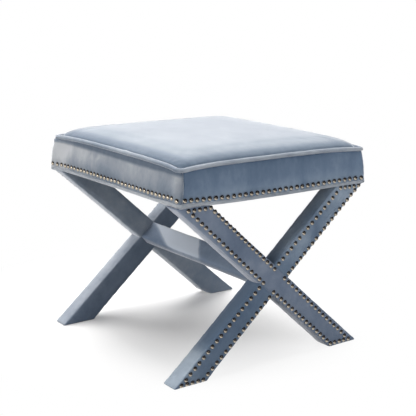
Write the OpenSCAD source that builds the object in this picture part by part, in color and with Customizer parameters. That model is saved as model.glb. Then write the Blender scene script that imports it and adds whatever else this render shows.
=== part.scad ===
// Square upholstered ottoman on two crossed-leg frames that a stretcher joins.
// The origin is on the floor under the middle of the seat. X runs along the two leg frames,
// Y from the front frame to the back one, and Z up. Sizes are in millimetres.

/* [Seat] */
// Width of the seat along X over the top of its side bands
seat_w = 471; // [420:1:520]
// Depth of the seat along Y over the top of its side bands
seat_d = 473; // [420:1:520]
// Height of the seat's underside above the floor
seat_under_h = 357; // [320:1:400]
// Height of the seat's side, from its underside to the middle of the welt
side_h = 78; // [68:1:100]
// Rise of the crowned top above the middle of the welt
crown_h = 22; // [12:1:40]
// How much lower the welt lies at the corners than along the sides
corner_drop = 5; // [0:0.5:8]
// How far the bottom of a side band stands out beyond its top
flare = 5; // [0:0.5:8]
// How far a side is drawn in between its corners
draw_in = 2; // [0:0.25:3]
// Corner radius of the side bands in plan
corner_r = 8; // [7:0.5:16]

/* [Seat cover] */
// Thickness of the top cover, velvet with its wadding
top_cover_t = 2.5; // [1.5:0.25:4]
// Thickness of the side bands
band_t = 2; // [1:0.25:3]
// Diameter of the welt round the top edge
welt_d = 9; // [7:0.5:11]
// Diameter of the filler cord inside the welt
welt_cord_d = 5; // [3:0.5:6]
// Height of the padded edge roll at the bottom of the sides
roll_h = 8; // [6:0.5:12]
// How far the edge roll stands out beyond the bottom of the bands
roll_proud = 0.8; // [0:0.1:2]
// Thickness of the dust cover under the seat
dust_cover_t = 0.6; // [0.4:0.1:1.5]

/* [Seat frame] */
// Height of the four seat rails
rail_h = 45; // [38:1:50]
// Thickness of the four seat rails
rail_t = 15; // [13:0.5:16]
// Distance of the rails' outer faces in from the top of the bands
rail_setback = 5; // [4.5:0.5:8]
// Thickness of the plywood deck
deck_t = 12; // [9:1:15]
// Length of a corner block along X
block_l = 62; // [55:1:80]
// Length of a corner block along Y
block_w = 45; // [40:1:60]

/* [Leg frames] */
// How much wider a leg frame is, over its feet, than the seat over its band tops
frame_over_w = 13; // [2:0.5:16]
// How much more the leg frames span along Y, over their outer faces, than the band tops
frame_over_d = 5; // [0:0.5:9]
// Width of a covered leg, square to its length
leg_w = 51; // [42:1:56]
// Thickness of a covered leg along Y
leg_t = 39; // [37:1:46]
// Thickness of the padded velvet on legs and stretcher
wrap_t = 3; // [2:0.5:4]
// Diameter of the glide under each foot
glide_d = 26; // [18:1:30]
// Height of the glide under each foot
glide_h = 2; // [1:0.5:4]

/* [Stretcher] */
// Width of the covered stretcher, along its sloping face
stretcher_w = 48; // [42:1:56]
// Thickness of the covered stretcher
stretcher_t = 28; // [24:1:34]
// How far the stretcher sits up the slope from the corner between the legs
stretcher_shift = 3; // [0:0.5:6]

/* [Nails] */
// Diameter of a nail head
nail_d = 9.5; // [7:0.5:10.5]
// Height of a nail's domed head
nail_rise = 3; // [2:0.25:4]
// Diameter of a nail's pin
pin_d = 1.5; // [1:0.1:2]
// Length of a nail's pin under the head
pin_l = 16; // [12:0.5:17]
// Spacing aimed for between nails
nail_pitch = 14.8; // [12:0.2:20]
// Distance of a row of nails from the edge of a leg
nail_inset = 7; // [6:0.25:10]
// Distance of the last nail of a band from the corner of the seat
nail_corner = 8.5; // [8:0.5:14]
// Height of the band's nails above the underside of the seat
band_nail_h = 14; // [13:0.5:20]

/* [Fixings] */
// Diameter of a leg stud
stud_d = 6; // [5:0.5:6.5]
// Depth of a leg stud in the leg
stud_in_leg = 28; // [20:1:30]
// Distance of a leg stud from the outer face of its leg frame
stud_in = 30; // [29:0.25:31]
// Distance of a leg stud from the middle of the leg's top, towards the seat's middle
stud_shift = 12; // [8:1:14]
// Diameter of a stretcher bolt
bolt_d = 8; // [6:0.5:9]
// Diameter of a bolt head and its washer
bolt_head_d = 16; // [12:1:18]
// Height of a bolt head
bolt_head_h = 5; // [4:0.5:6]
// Thickness of a washer
washer_t = 1.6; // [1:0.2:2]
// Diameter of a barrel nut
barrel_d = 12; // [10:0.5:14]
// Distance of a barrel nut from the end of the stretcher board
barrel_in = 32; // [24:1:40]
// Diameter of a dowel
dowel_d = 8; // [6:1:9]
// Length of a dowel
dowel_l = 40; // [30:1:44]
// Diameter of a wood screw
screw_d = 4; // [3:0.5:5]
// Length of a deck screw
deck_screw_l = 30; // [24:1:34]
// Length of a corner block screw
block_screw_l = 30; // [24:1:34]

/* [Hidden] */

// Fits and small details
fit = 0.1;
soft_gap = 0.3;
cut_over = 1;
pin_fit = 0.05;
nail_tip = 1.5;
glide_pin_d = 3;
glide_pin_l = 14;
glide_edge = 0.5;
insert_d = 10;
insert_l = 18;
insert_collar_d = 12;
insert_collar_t = 1.5;
stud_top_gap = 1;
screw_head_d = 8;
screw_head_h = 3;
dowel_end_gap = 1;
barrel_cap = 2;
bolt_past_nut = 3;
bolt_shift = 6;
dowel_shift = 8;
nail_seat = 0.15;
nail_stagger = 0.9;

// Counts and shares
corner_steps = 4;
side_steps = 10;
welt_sides = 8;
cord_sides = 6;
roll_steps = 4;
dome_steps = 3;
dome_end_a = 75;
end_row_gaps = 4;
screws_on_side = 3;
drop_power = 4;
crown_power = 6;
crown_rings_share = [1, 0.992, 0.975, 0.945, 0.89, 0.8, 0.65, 0.42, 0.12];
screw_row_share = 0.36;
roll_round_share = 0.5;
cross_screw_share = 0.5;
side_screw_share = 0.7;
screw_bite_share = 0.75;
tip_share = 0.3;
small_fn = 20;
$fn = 40;

// Heights
roll_top_z = seat_under_h + roll_h;
welt_z = seat_under_h + side_h;
band_top_z = welt_z - welt_d / 2 - fit;
rail_z = seat_under_h + dust_cover_t;
rail_top_z = rail_z + rail_h;
deck_top_z = rail_top_z + deck_t;
foot_z = glide_h;
leg_h = seat_under_h - foot_z;
cross_z = foot_z + leg_h / 2;
band_nail_z = seat_under_h + band_nail_h;

// Seat plan
rail_x = seat_w / 2 - rail_setback;
rail_y = seat_d / 2 - rail_setback;
welt_out = band_t / 2 - welt_d / 4;
panel_out = welt_out - welt_d / 2 - fit;

// Leg frames over the feet and over their outer faces
frame_span = seat_w + frame_over_w;
frame_depth = seat_d + frame_over_d;

// Slope of the legs, so that a leg of this width fills the frame's width and height
frame_diagonal = norm([frame_span, leg_h]);
slope = atan(leg_h / frame_span) + asin(leg_w / frame_diagonal);
leg_foot_l = leg_w / sin(slope);
foot_x = frame_span / 2 - leg_foot_l / 2;
cross_edge = leg_w / sin(2 * slope);

// Depth places in the front frame, from its outer face at front_y
front_y = -frame_depth / 2;
core_y = front_y + wrap_t;
core_t = leg_t - 2 * wrap_t;
core_w = leg_w - 2 * wrap_t;
lap_y = front_y + leg_t / 2;
core_end_y = core_y + core_t;

stud_x = foot_x - stud_shift;
stud_y = frame_depth / 2 - stud_in;
stretcher_half = frame_depth / 2 - leg_t;
board_half = stretcher_half + wrap_t - fit;
board_t = stretcher_t - 2 * wrap_t;
row_off = leg_w / 2 - nail_inset;
bolt_l = core_t + barrel_in + barrel_d / 2 + bolt_past_nut;

// Closed ring of points round the seat, outside the top of the bands by out, with its corners
// moved out by spread. Each point holds its x, its y and its share of the corner drop.
function corner_sign(k) = [k == 0 || k == 3 ? 1 : -1, k < 2 ? 1 : -1];

function corner_point(k, a, out, spread) = let(
    s = corner_sign(k),
    r = corner_r + out,
    in = corner_r - spread
  ) [s.x * (seat_w / 2 - in) + r * cos(a), s.y * (seat_d / 2 - in) + r * sin(a), 1];

function corner_points(k, out, spread) = [
  for (i = [0:corner_steps]) corner_point(k, 90 * (k + i / corner_steps), out, spread)
];

function side_points(k, out, spread) = let(
    from = corner_point(k, 90 * (k + 1), out, spread),
    to = corner_point((k + 1) % 4, 90 * (k + 1), out, spread),
    n = [cos(90 * (k + 1)), sin(90 * (k + 1)), 0]
  ) [
    for (i = [1:side_steps - 1]) let(t = i / side_steps, p = from + (to - from) * t)
      [p.x - n.x * draw_in * sin(180 * t), p.y - n.y * draw_in * sin(180 * t),
       pow(abs(2 * t - 1), drop_power)]
  ];

function seat_ring(out, spread) = [
  for (k = [0:3]) each concat(corner_points(k, out, spread), side_points(k, out, spread))
];

function part_of(list, from, to) = [for (i = [from:to]) list[i]];

function side_strip(k, out, spread) = concat(
  part_of(corner_points(k, out, spread), corner_steps / 2, corner_steps),
  side_points(k, out, spread),
  part_of(corner_points((k + 1) % 4, out, spread), 0, corner_steps / 2)
);

function at_height(ring, z, drop_share) = [
  for (p = ring) [p.x, p.y, z - corner_drop * drop_share * p[2]]
];

function crown_level(ring, share, sink) = [
  for (p = ring) [
    p.x * share, p.y * share,
    welt_z - corner_drop * p[2] * pow(share, drop_power)
      + crown_h * sqrt(1 - pow(share, crown_power)) - sink
  ]
];

// Surface through a stack of levels with the same number of points. It closes around each level
// or ends in caps there, and joins its last level to its first or ends in caps there.
module skin(levels, around, looped) {
  n = len(levels[0]);
  m = len(levels);
  sides = [
    for (v = [0:m - (looped ? 1 : 2)], u = [0:n - (around ? 1 : 2)]) let(
        a = v * n + u,
        b = v * n + (u + 1) % n,
        c = (v + 1) % m * n + (u + 1) % n,
        d = (v + 1) % m * n + u
      ) each [[a, d, c], [a, c, b]]
  ];
  level_caps = looped ? [] : [[for (u = [0:n - 1]) u], [for (u = [n - 1:-1:0]) (m - 1) * n + u]];
  end_caps = around ? [] : [
    [for (v = [m - 1:-1:0]) v * n],
    [for (v = [0:m - 1]) v * n + n - 1]
  ];
  polyhedron(points = [for (l = levels) each l], faces = concat(sides, level_caps, end_caps));
}

// Seat cover and padding
module top_cover() {
  edge = seat_ring(panel_out, 0);
  inner_share = 1 - 2 * top_cover_t / seat_w;
  inner_edge = [for (p = edge) [p.x * inner_share, p.y * inner_share, p[2]]];
  last = len(crown_rings_share) - 1;
  color([0.83, 0.86, 0.9])
    skin(concat(
      [for (i = [last:-1:0]) crown_level(inner_edge, crown_rings_share[i], top_cover_t)],
      [for (i = [0:last]) crown_level(edge, crown_rings_share[i], 0)]
    ), around = true, looped = false);
}

module welt_tube(d, sides) {
  skin([
    for (i = [0:sides - 1]) let(a = 360 * i / sides)
      at_height(seat_ring(welt_out + d / 2 * cos(a), 0), welt_z + d / 2 * sin(a), 1)
  ], around = true, looped = true);
}

module top_welt() {
  color([0.65, 0.7, 0.76])
    difference() {
      welt_tube(welt_d, welt_sides);
      welt_tube(welt_cord_d + 2 * fit, cord_sides);
    }
}

module welt_cord() {
  color([0.93, 0.92, 0.88])
    welt_tube(welt_cord_d, cord_sides);
}

// How far a band's face stands out at a height, beyond its top
function band_out(z) = flare * (band_top_z - z) / (band_top_z - roll_top_z);

module band(k) {
  color([0.45, 0.53, 0.61])
    difference() {
      skin([
        at_height(side_strip(k, 0, flare), roll_top_z + fit, 0),
        at_height(side_strip(k, 0, 0), band_top_z, 1),
        at_height(side_strip(k, -band_t, 0), band_top_z, 1),
        at_height(side_strip(k, -band_t, flare), roll_top_z + fit, 0)
      ], around = false, looped = true);
      band_nail_places(k) pin_hole();
    }
}

module edge_roll() {
  nose = roll_h / 2;
  round_in = nose * roll_round_share;
  color([0.56, 0.61, 0.67])
    difference() {
      skin([
        for (i = [0:roll_steps]) let(
            a = 180 * i / roll_steps - 90,
            out = roll_proud - round_in * (1 - cos(a))
          ) at_height(seat_ring(out, flare), seat_under_h + nose * (1 + sin(a)), 0)
      ], around = true, looped = false);
      rail_box();
    }
}

// Space inside the rails' outer faces, which what is wrapped round the seat frame leaves free
module rail_box() {
  translate([-rail_x - fit, -rail_y - fit, seat_under_h - cut_over])
    cube([2 * (rail_x + fit), 2 * (rail_y + fit), side_h]);
}

module seat_foam() {
  side_out = -band_t - soft_gap;
  under_welt_z = band_top_z - soft_gap;
  edge_share = 1 - 2 * (top_cover_t + soft_gap) / seat_w;
  edge = [for (p = seat_ring(panel_out, 0)) [p.x * edge_share, p.y * edge_share, p[2]]];
  color([0.93, 0.9, 0.78])
    skin(concat(
      [
        at_height(seat_ring(side_out, 0), deck_top_z, 0),
        at_height(seat_ring(side_out, 0), under_welt_z, 1)
      ],
      [for (s = crown_rings_share) crown_level(edge, s, top_cover_t + soft_gap)]
    ), around = true, looped = false);
}

module side_wadding() {
  out = -band_t - 2 * soft_gap;
  color([0.95, 0.95, 0.94])
    difference() {
      skin([
        at_height(seat_ring(out, flare), roll_top_z + fit, 0),
        at_height(seat_ring(out, band_out(deck_top_z)), deck_top_z - soft_gap, 0)
      ], around = true, looped = false);
      rail_box();
      for (k = [0:3])
        band_nail_places(k) pin_hole();
    }
}

// Seat frame
module seat_deck() {
  color([0.8, 0.66, 0.45])
    difference() {
      translate([-rail_x, -rail_y, rail_top_z])
        cube([2 * rail_x, 2 * rail_y, deck_t]);
      deck_screw_places() screw_hole(deck_screw_l, cut_over);
    }
}

module cross_rail(k) {
  color([0.82, 0.68, 0.48])
    difference() {
      translate([-rail_x, k == 0 ? rail_y - rail_t : -rail_y, rail_z])
        cube([2 * rail_x, rail_t, rail_h]);
      for (row = [0:3])
        band_nail_places(row) pin_hole();
      rail_screw_holes();
    }
}

module side_rail(k) {
  l = 2 * (rail_y - rail_t - fit);
  color([0.82, 0.68, 0.48])
    difference() {
      translate([k == 3 ? rail_x - rail_t : -rail_x, -l / 2, rail_z])
        cube([rail_t, l, rail_h]);
      band_nail_places(k) pin_hole();
      rail_screw_holes();
    }
}

module rail_screw_holes() {
  deck_screw_places() screw_hole(deck_screw_l, 0);
  block_screw_places() screw_hole(block_screw_l, 0);
}

module corner_blocks() {
  color([0.74, 0.6, 0.42])
    difference() {
      for (sx = [-1, 1], sy = [-1, 1])
        translate([sx * (rail_x - rail_t - fit - block_l / 2), sy * (rail_y - rail_t - fit - block_w / 2),
                   rail_z + rail_h / 2])
          cube([block_l, block_w, rail_h], center = true);
      at_studs() translate([0, 0, rail_z - cut_over])
        cylinder(d = stud_d + 2 * fit, h = rail_h + 2 * cut_over);
      at_studs() translate([0, 0, rail_top_z - insert_l - fit])
        cylinder(d = insert_d + 2 * fit, h = rail_h);
      at_studs() translate([0, 0, rail_top_z - insert_collar_t - fit])
        cylinder(d = insert_collar_d + 2 * fit, h = rail_h);
      block_screw_places() screw_hole(block_screw_l, block_l);
    }
}

module at_studs() {
  for (sx = [-1, 1], sy = [-1, 1])
    translate([sx * stud_x, sy * stud_y, 0]) children();
}

// Two threaded studs hold each leg frame to the seat, turned into inserts in the corner blocks
module leg_studs() {
  low_z = seat_under_h - stud_in_leg;
  color([0.72, 0.73, 0.75])
    at_studs() translate([0, 0, low_z])
      cylinder(d = stud_d, h = rail_top_z - stud_top_gap - low_z);
}

module stud_inserts() {
  color([0.78, 0.78, 0.76])
    difference() {
      union() {
        at_studs() translate([0, 0, rail_top_z - insert_collar_t])
          cylinder(d = insert_collar_d, h = insert_collar_t - fit);
        at_studs() translate([0, 0, rail_top_z - insert_l])
          cylinder(d = insert_d, h = insert_l - fit);
      }
      at_studs() translate([0, 0, rail_top_z - insert_l - cut_over])
        cylinder(d = stud_d + 2 * pin_fit, h = insert_l + 2 * cut_over);
    }
}

module dust_cover() {
  color([0.12, 0.12, 0.13])
    difference() {
      translate([-rail_x, -rail_y, seat_under_h])
        cube([2 * rail_x, 2 * rail_y, dust_cover_t - fit]);
      at_studs() translate([0, 0, seat_under_h - cut_over])
        cylinder(d = stud_d + 2 * fit, h = dust_cover_t + 2 * cut_over);
    }
}

// Screws point down their own -Z, with the top of the head at the origin
module screw(l) {
  tip_r = screw_d / 2 * tip_share;
  rotate_extrude($fn = small_fn)
    polygon([
      [0, 0], [screw_head_d / 2, 0], [screw_d / 2, -screw_head_h],
      [screw_d / 2, -l + screw_d / 2], [tip_r, -l], [0, -l]
    ]);
}

module screw_hole(l, way_in) {
  rotate_extrude($fn = small_fn)
    polygon([
      [0, way_in], [screw_head_d / 2 + fit, way_in], [screw_head_d / 2 + fit, 0],
      [screw_d / 2 + fit, -screw_head_h], [screw_d / 2 + fit, -l - fit], [0, -l - fit]
    ]);
}

module deck_screw_places() {
  step_x = rail_x * 2 * screw_row_share;
  step_y = rail_y * 2 * screw_row_share;
  for (i = [0:screws_on_side - 1], s = [-1, 1]) {
    from_mid = i - (screws_on_side - 1) / 2;
    translate([from_mid * step_x, s * (rail_y - rail_t / 2), deck_top_z - fit]) children();
    translate([s * (rail_x - rail_t / 2), from_mid * step_y, deck_top_z - fit]) children();
  }
}

// A screw goes out from each corner block into each of the two rails beside it
module block_screw_places() {
  reach = block_screw_l - rail_t * screw_bite_share;
  for (sx = [-1, 1], sy = [-1, 1]) {
    translate([sx * (rail_x - rail_t - block_l + screw_head_d), sy * (rail_y - rail_t - reach),
               rail_z + rail_h * cross_screw_share])
      rotate([sy * 90, 0, 0]) children();
    translate([sx * (rail_x - rail_t - reach), sy * (rail_y - rail_t - block_w + screw_head_d),
               rail_z + rail_h * side_screw_share])
      rotate([0, -sx * 90, 0]) children();
  }
}

module deck_screws() {
  color([0.8, 0.78, 0.66])
    deck_screw_places() screw(deck_screw_l);
}

module block_screws() {
  color([0.8, 0.78, 0.66])
    block_screw_places() screw(block_screw_l);
}

// Leg frames. The front frame is drawn in place, and the back frame is the front one turned
// half round the middle of the seat.
module turned(back) {
  rotate([0, 0, back ? 180 : 0]) children();
}

function leg_x(z, w, side) = (cross_z - z) / tan(slope) + side * w / 2 / sin(slope);

// Bar of the main leg, which runs from the top at -X to the floor at +X
module leg_bar(w, low_z, high_z, y, t) {
  translate([0, y + t, 0])
    rotate([90, 0, 0])
      linear_extrude(height = t)
        polygon([
          [leg_x(low_z, w, -1), low_z], [leg_x(low_z, w, 1), low_z],
          [leg_x(high_z, w, 1), high_z], [leg_x(high_z, w, -1), high_z]
        ]);
}

module core_bar(above) {
  leg_bar(core_w, foot_z + wrap_t, seat_under_h + above, core_y, core_t);
}

// Space that the other leg of the frame takes where the two cross
module lap_block(w, y, t) {
  mirror([1, 0, 0])
    leg_bar(w + 2 * fit, foot_z, seat_under_h, y, t);
}

module leg_main(back) {
  color([0.79, 0.64, 0.44])
    difference() {
      turned(back) difference() {
        core_bar(0);
        lap_block(core_w, lap_y - fit, core_t);
        main_nail_places() pin_hole();
        leg_fixing_holes();
      }
      stretcher_drillings();
    }
}

module leg_cross(back) {
  color([0.77, 0.62, 0.42])
    difference() {
      turned(back) mirror([1, 0, 0]) difference() {
        core_bar(0);
        lap_block(leg_w, lap_y - core_t, core_t);
        cross_nail_places() pin_hole();
        leg_fixing_holes();
      }
      stretcher_drillings();
    }
}

// Stud hole in the top and glide pin hole in the foot of a leg
module leg_fixing_holes() {
  translate([-stud_x, -stud_y, seat_under_h - stud_in_leg - fit])
    cylinder(d = stud_d + 2 * fit, h = stud_in_leg + cut_over);
  translate([foot_x, front_y + leg_t / 2, foot_z - cut_over])
    cylinder(d = glide_pin_d + 2 * fit, h = glide_pin_l + cut_over + fit);
}

// Covers are sleeves of padded velvet, closed under the foot
module main_cover(back) {
  color([0.39, 0.45, 0.54])
    difference() {
      turned(back) difference() {
        leg_bar(leg_w, foot_z, seat_under_h, front_y, leg_t);
        core_bar(cut_over);
        lap_block(core_w, lap_y, core_end_y - lap_y);
        main_nail_places() pin_hole();
        leg_fixing_holes();
      }
      stretcher_passage();
    }
}

module cross_sleeve(upper) {
  s = upper ? 1 : -1;
  far_z = upper ? seat_under_h : foot_z;
  mirror([1, 0, 0])
    difference() {
      translate([0, front_y + leg_t, 0])
        rotate([90, 0, 0])
          linear_extrude(height = leg_t)
            polygon([
              [0, cross_z + s * cross_edge * sin(slope)], [-s * cross_edge * cos(slope), cross_z],
              [leg_x(far_z, leg_w, -s), far_z], [leg_x(far_z, leg_w, s), far_z]
            ]);
      core_bar(cut_over);
      cross_nail_places() pin_hole();
      leg_fixing_holes();
    }
}

module cross_cover(back, upper) {
  color([0.43, 0.5, 0.58])
    difference() {
      turned(back) cross_sleeve(upper);
      stretcher_passage();
    }
}

module glides(back) {
  color([0.16, 0.16, 0.17])
    turned(back)
      for (s = [-1, 1])
        translate([s * foot_x, front_y + leg_t / 2, 0]) {
          cylinder(d1 = glide_d - 2 * glide_edge, d2 = glide_d, h = glide_edge);
          translate([0, 0, glide_edge])
            cylinder(d = glide_d, h = glide_h - glide_edge - fit);
          cylinder(d = glide_pin_d, h = foot_z + glide_pin_l);
        }
}

// Stretcher, drawn flat and then sloped like the cross legs
module on_slope() {
  translate([-cross_edge * cos(slope), 0, cross_z])
    rotate([0, -slope, 0])
      translate([stretcher_shift, 0, 0]) children();
}

module stretcher_bar(inset, half) {
  translate([inset, -half, -stretcher_t + inset])
    cube([stretcher_w - 2 * inset, 2 * half, stretcher_t - 2 * inset]);
}

module stretcher_passage() {
  on_slope() stretcher_bar(wrap_t - fit, stretcher_half + wrap_t + cut_over);
}

// Bolts point down their own -Z, from the outer face of the leg's wood at the origin
module at_bolts() {
  for (s = [-1, 1])
    translate([stretcher_w / 2 + bolt_shift, s * (frame_depth / 2 - wrap_t), -stretcher_t / 2])
      rotate([-s * 90, 0, 0]) children();
}

module at_dowels() {
  for (s = [-1, 1])
    translate([stretcher_w / 2 - dowel_shift, s * board_half, -stretcher_t / 2])
      rotate([90, 0, 0]) children();
}

module at_barrels() {
  for (s = [-1, 1])
    translate([stretcher_w / 2 + bolt_shift, s * (board_half - barrel_in), -stretcher_t / 2]) children();
}

module stretcher_drillings() {
  on_slope() {
    at_bolts() {
      translate([0, 0, -bolt_l - fit])
        cylinder(d = bolt_d + 2 * fit, h = bolt_l + cut_over);
      translate([0, 0, -bolt_head_h - washer_t])
        cylinder(d = bolt_head_d + 2 * fit, h = bolt_head_h + washer_t + cut_over);
    }
    at_dowels()
      cylinder(d = dowel_d + 2 * fit, h = dowel_l + 2 * dowel_end_gap, center = true);
  }
}

module stretcher_board() {
  color([0.81, 0.67, 0.47])
    difference() {
      on_slope() stretcher_bar(wrap_t, board_half);
      stretcher_drillings();
      on_slope() at_barrels() translate([0, 0, -board_t])
        cylinder(d = barrel_d + 2 * fit, h = board_t * 3 / 2 - barrel_cap + fit);
    }
}

module stretcher_cover() {
  color([0.64, 0.69, 0.74])
    on_slope()
      difference() {
        stretcher_bar(0, stretcher_half);
        stretcher_bar(wrap_t, stretcher_half + cut_over);
      }
}

module stretcher_bolts() {
  color([0.7, 0.71, 0.73])
    on_slope() at_bolts() {
      translate([0, 0, -bolt_head_h])
        cylinder(d = bolt_head_d, h = bolt_head_h - fit);
      translate([0, 0, -bolt_l])
        cylinder(d = bolt_d, h = bolt_l - bolt_head_h);
    }
}

module stretcher_washers() {
  color([0.76, 0.77, 0.78])
    on_slope() at_bolts()
      translate([0, 0, -bolt_head_h - washer_t])
        difference() {
          cylinder(d = bolt_head_d, h = washer_t);
          translate([0, 0, -cut_over])
            cylinder(d = bolt_d + 2 * pin_fit, h = washer_t + 2 * cut_over);
        }
}

module barrel_nuts() {
  color([0.74, 0.74, 0.72])
    on_slope()
      difference() {
        at_barrels() cylinder(d = barrel_d, h = board_t - 2 * barrel_cap, center = true);
        at_bolts() translate([0, 0, -bolt_l - cut_over])
          cylinder(d = bolt_d + 2 * pin_fit, h = bolt_l);
      }
}

module stretcher_dowels() {
  color([0.86, 0.76, 0.58])
    on_slope() at_dowels()
      cylinder(d = dowel_d, h = dowel_l, center = true);
}

// Decorative nails. A nail is drawn with its pin down its own -Z and its head on z = 0.
module nail() {
  tip_r = pin_d / 2 * tip_share;
  rotate_extrude($fn = small_fn)
    polygon(concat(
      [[0, -pin_l], [tip_r, -pin_l], [pin_d / 2, -pin_l + nail_tip], [pin_d / 2, nail_seat]],
      [for (i = [0:dome_steps]) let(a = dome_end_a * i / dome_steps)
        [nail_d / 2 * cos(a), nail_seat + nail_rise * sin(a) / sin(dome_end_a)]],
      [[0, nail_seat + nail_rise]]
    ));
}

module pin_hole() {
  translate([0, 0, -pin_l - pin_fit])
    cylinder(d = pin_d + 2 * pin_fit, h = pin_l + cut_over, $fn = small_fn);
}

// Point of the main leg, by its distance up the leg and to the upper side from the crossing
function on_leg(along, across) = [
  across * sin(slope) - along * cos(slope),
  cross_z + along * sin(slope) + across * cos(slope)
];

function row_end(s, across) =
  ((s > 0 ? seat_under_h - nail_inset : foot_z + nail_inset) - cross_z - across * cos(slope)) / sin(slope);

function row_start(s, across) = (s * row_off - across * cos(2 * slope)) / sin(2 * slope);

// Nails of one leg: a row along each edge of both arms, and one across each end
function leg_nails(first) = [
  for (s = [-1, 1]) each concat(
    [for (side = [-1, 1]) each let(
        across = side * row_off,
        from = row_start(s, across),
        to = row_end(s, across),
        n = round(abs(to - from) / nail_pitch)
      ) [for (i = [first:n]) on_leg(from + (to - from) * i / n, across)]],
    [for (i = [1:end_row_gaps - 1]) let(
        a = on_leg(row_end(s, -row_off), -row_off),
        b = on_leg(row_end(s, row_off), row_off)
      ) a + (b - a) * i / end_row_gaps]
  )
];

module on_front_face(points) {
  for (p = points)
    translate([p.x, front_y, p.y]) rotate([90, 0, 0]) children();
}

module main_nail_places() {
  on_front_face(leg_nails(0)) children();
}

// The corner nails at the crossing are on the main leg, so a cross leg's rows start one later
module cross_nail_places() {
  on_front_face(leg_nails(1)) children();
}

module main_nails(back) {
  color([0.8, 0.78, 0.74])
    turned(back) main_nail_places() nail();
}

module cross_nails(back) {
  color([0.8, 0.78, 0.74])
    turned(back) mirror([1, 0, 0]) cross_nail_places() nail();
}

// Row of nails along one band, square to its flared face. The rows of neighbouring bands differ
// a little in height, so that their pins pass each other at the corners.
module band_nail_places(k) {
  cross = k % 2 == 0;
  z = band_nail_z + (cross ? -1 : 1) * nail_stagger;
  l = (cross ? seat_w : seat_d) / 2 + band_out(z);
  face = (cross ? seat_d : seat_w) / 2 + band_out(z);
  row = l - nail_corner;
  n = round(2 * row / nail_pitch);
  tilt = atan(flare / (band_top_z - roll_top_z));
  for (i = [0:n]) let(
      across = row * (2 * i / n - 1),
      in = draw_in * max(0, cos(90 * across / (l - corner_r)))
    )
    rotate([0, 0, 90 * (k + 1)])
      translate([face - in, across, z])
        rotate([0, 90 - tilt, 0]) children();
}

module band_nails(k) {
  color([0.8, 0.78, 0.74])
    band_nail_places(k) nail();
}

top_cover();
top_welt();
welt_cord();
band(2);  // band_front
band(0);  // band_back
band(1);  // band_left
band(3);  // band_right
edge_roll();
seat_foam();
side_wadding();
seat_deck();
cross_rail(2);  // rail_front
cross_rail(0);  // rail_back
side_rail(1);  // rail_left
side_rail(3);  // rail_right
corner_blocks();
deck_screws();
block_screws();
dust_cover();
leg_studs();
stud_inserts();
leg_main(false);  // front_leg_main
leg_cross(false);  // front_leg_cross
main_cover(false);  // front_main_cover
cross_cover(false, true);  // front_cross_cover_upper
cross_cover(false, false);  // front_cross_cover_lower
main_nails(false);  // front_main_nails
cross_nails(false);  // front_cross_nails
glides(false);  // front_glides
leg_main(true);  // back_leg_main
leg_cross(true);  // back_leg_cross
main_cover(true);  // back_main_cover
cross_cover(true, true);  // back_cross_cover_upper
cross_cover(true, false);  // back_cross_cover_lower
main_nails(true);  // back_main_nails
cross_nails(true);  // back_cross_nails
glides(true);  // back_glides
stretcher_board();
stretcher_cover();
stretcher_bolts();
stretcher_washers();
barrel_nuts();
stretcher_dowels();
band_nails(2);  // band_nails_front
band_nails(0);  // band_nails_back
band_nails(1);  // band_nails_left
band_nails(3);  // band_nails_right
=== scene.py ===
import math
import random
import bpy
import bmesh
from mathutils import Matrix, Vector, kdtree, noise


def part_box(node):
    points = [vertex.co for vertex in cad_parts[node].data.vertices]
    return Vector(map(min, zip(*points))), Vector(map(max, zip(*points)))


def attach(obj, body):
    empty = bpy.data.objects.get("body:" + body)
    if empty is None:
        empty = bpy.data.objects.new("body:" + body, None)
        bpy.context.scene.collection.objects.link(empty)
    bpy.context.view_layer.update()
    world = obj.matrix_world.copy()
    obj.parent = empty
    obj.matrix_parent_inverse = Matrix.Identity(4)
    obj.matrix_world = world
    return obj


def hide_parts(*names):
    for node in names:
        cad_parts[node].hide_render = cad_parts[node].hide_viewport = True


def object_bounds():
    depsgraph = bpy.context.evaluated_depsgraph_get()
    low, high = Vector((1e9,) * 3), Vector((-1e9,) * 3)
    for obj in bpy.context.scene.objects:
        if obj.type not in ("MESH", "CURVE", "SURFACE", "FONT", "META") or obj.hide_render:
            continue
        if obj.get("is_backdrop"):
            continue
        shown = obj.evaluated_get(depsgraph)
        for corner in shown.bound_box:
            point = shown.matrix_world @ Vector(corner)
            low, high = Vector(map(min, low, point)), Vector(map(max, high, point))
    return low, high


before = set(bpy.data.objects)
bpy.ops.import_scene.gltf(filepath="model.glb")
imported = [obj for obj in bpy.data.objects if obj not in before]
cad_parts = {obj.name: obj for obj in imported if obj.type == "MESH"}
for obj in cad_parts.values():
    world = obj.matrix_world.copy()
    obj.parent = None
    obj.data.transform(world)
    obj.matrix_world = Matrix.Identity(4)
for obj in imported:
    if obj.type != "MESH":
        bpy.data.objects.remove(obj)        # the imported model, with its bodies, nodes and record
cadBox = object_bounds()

mm = 0.001
scene = bpy.context.scene


# Camera
camera = {
    "eye": (-1.2560, -1.6780, 0.7697),
    "yaw": 37.01,        # degrees, turned right of looking along +Y
    "pitch": 13.03,      # degrees downwards
    "roll": 0.98,
    "focal": 978.5,      # in pixels of a 416 wide picture
    "picture": 416,
    "sensor": 36.0,
}


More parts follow.
